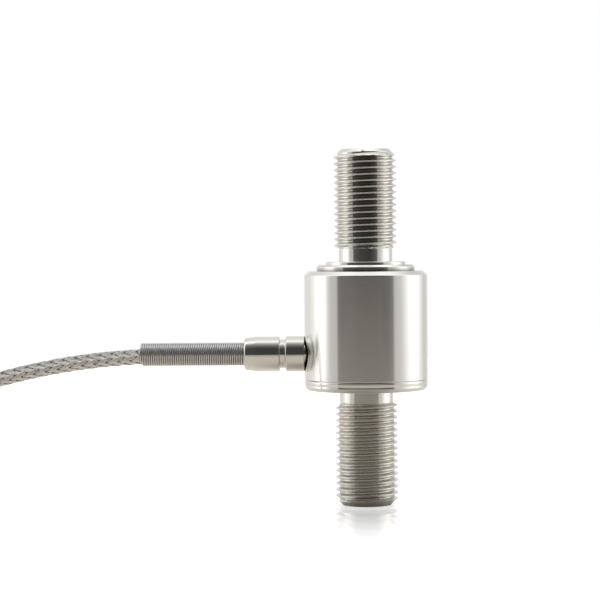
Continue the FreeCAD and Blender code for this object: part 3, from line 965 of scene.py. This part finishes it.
# Both ramps run over metres from the load axis. The first fades the mirror image out, and the second is the
# shadow under the flange, as the steel mirrors it
mirror_ramp = add_node(tree, "ShaderNodeValToRGB", inputs={"Fac": reach.outputs["Value"]})
near = grey_stops(mirror_ramp, [(0.0, 0.1), (0.007, 0.25), (0.013, 1.0), (0.027, 0.9), (0.09, 0.0)])
shadow_ramp = add_node(tree, "ShaderNodeValToRGB", inputs={"Fac": reach.outputs["Value"]})
shade = grey_stops(shadow_ramp, [(0.0, 1.0), (0.008, 1.0), (0.012, 0.55), (0.017, 0.62), (0.026, 1.0)])
shaded = add_node(tree, "ShaderNodeMix", {"data_type": "RGBA", "blend_type": "MULTIPLY"}, {
    "Factor": 1.0, 6: linear("#F8F1E6"), 7: shade})
tree.links.new(shaded.outputs[2], shader.inputs["Base Color"])
gloss = add_node(tree, "ShaderNodeFresnel", inputs={"IOR": lacquer_index})
mirrored = add_node(tree, "ShaderNodeMath", {"operation": "MULTIPLY"}, {0: near, 1: gloss.outputs[0]})
path = add_node(tree, "ShaderNodeLightPath")
shine = add_node(tree, "ShaderNodeBsdfGlossy", inputs={"Color": (1, 1, 1, 1), "Roughness": 0.025})
white = add_node(tree, "ShaderNodeEmission", inputs={"Color": (1, 1, 1, 1), "Strength": table_glow})
matt = add_node(tree, "ShaderNodeBsdfDiffuse", inputs={"Color": linear("#F2F2F2")})
lit = add_node(tree, "ShaderNodeAddShader", inputs={0: matt.outputs[0], 1: white.outputs[0]})
seen = add_node(tree, "ShaderNodeMixShader", inputs={
    0: mirrored.outputs[0], 1: lit.outputs[0], 2: shine.outputs[0]})
look = add_node(tree, "ShaderNodeMixShader", inputs={
    0: path.outputs["Is Camera Ray"], 1: shader.outputs[0], 2: seen.outputs[0]})
tree.links.new(look.outputs[0], tree.nodes["Material Output"].inputs["Surface"])
table.data.materials.append(material)

# What mirrors show: a level for each angle round from the front, in degrees, and the share of the ceiling's
# level at each angle up from the horizon. Other light is one soft lamp, high behind the cell, and a fill
room_levels = [
    (-180, 0.95), (-150, 0.92), (-129, 1.04), (-114, 1.27), (-104, 1.75), (-86, 1.8), (-80, 1.42), (-74, 0.9),
    (-67, 0.7), (-55, 0.68), (-53, 0.16), (-40, 0.11), (-20, 0.07), (20, 0.055), (40, 0.1), (46, 0.15),
    (53, 0.23), (55, 0.68), (70, 0.84), (84, 1.36), (94, 1.75), (108, 1.8), (121, 1.27), (138, 0.77),
    (180, 0.95)]
ceiling_shares = [(40, 0.0), (50, 0.04), (57, 0.09), (65, 0.17), (72, 0.3), (81, 0.48), (90, 1.0)]
ceiling_level = 1.6
lamp_direction = (0, 0.6, 0.8)
lamp_focus = 4.0
lamp_strength = 2.7
fill_strength = 0.22

world = bpy.data.worlds.new("studio")
world.use_nodes = True
bpy.context.scene.world = world
tree = world.node_tree
direction = add_node(tree, "ShaderNodeTexCoord")
toward = add_node(tree, "ShaderNodeSeparateXYZ", inputs={"Vector": direction.outputs["Generated"]})
front = add_node(tree, "ShaderNodeMath", {"operation": "MULTIPLY"}, {0: toward.outputs["Y"], 1: -1.0})
azimuth = add_node(tree, "ShaderNodeMath", {"operation": "ARCTAN2"}, {
    0: toward.outputs["X"], 1: front.outputs[0]})
azimuth = add_node(tree, "ShaderNodeMath", {"operation": "MULTIPLY_ADD"}, {
    0: azimuth.outputs[0], 1: 1 / TURN, 2: 0.5})
elevation = add_node(tree, "ShaderNodeMath", {"operation": "ARCSINE"}, {0: toward.outputs["Z"]})
elevation = add_node(tree, "ShaderNodeMath", {"operation": "DIVIDE"}, {
    0: elevation.outputs[0], 1: np.pi / 2})
room_ramp = add_node(tree, "ShaderNodeValToRGB", inputs={"Fac": azimuth.outputs[0]})
round_about = grey_stops(room_ramp, [(0.5 + angle / 360, level) for angle, level in room_levels])
ceiling_ramp = add_node(tree, "ShaderNodeValToRGB", inputs={"Fac": elevation.outputs[0]})
overhead = grey_stops(ceiling_ramp, [(angle / 90, share) for angle, share in ceiling_shares])
studio = add_node(tree, "ShaderNodeMix", {"data_type": "RGBA"}, {
    "Factor": overhead, 6: round_about, 7: (ceiling_level, ceiling_level, ceiling_level, 1)})
path = add_node(tree, "ShaderNodeLightPath")
mirrors = add_node(tree, "ShaderNodeMath", {"operation": "ADD"}, {
    0: path.outputs["Is Glossy Ray"], 1: path.outputs["Is Transmission Ray"]})
facing = add_node(tree, "ShaderNodeVectorMath", {"operation": "DOT_PRODUCT"}, {
    0: direction.outputs["Generated"], 1: lamp_direction})
lamp = add_node(tree, "ShaderNodeMath", {"operation": "MAXIMUM"}, {0: facing.outputs["Value"], 1: 0.0})
lamp = add_node(tree, "ShaderNodeMath", {"operation": "POWER"}, {0: lamp.outputs[0], 1: lamp_focus})
plain = add_node(tree, "ShaderNodeMath", {"operation": "MULTIPLY_ADD"}, {
    0: lamp.outputs[0], 1: lamp_strength, 2: fill_strength})
room = add_node(tree, "ShaderNodeMix", {"data_type": "RGBA"}, {
    "Factor": mirrors.outputs[0], 6: plain.outputs[0], 7: studio.outputs[2]})
shown = add_node(tree, "ShaderNodeMix", {"data_type": "RGBA"}, {
    "Factor": path.outputs["Is Camera Ray"], 6: room.outputs[2], 7: (1, 1, 1, 1)})
tree.links.new(shown.outputs[2], tree.nodes["Background"].inputs["Color"])

bpy.context.scene.view_settings.view_transform = "Standard"
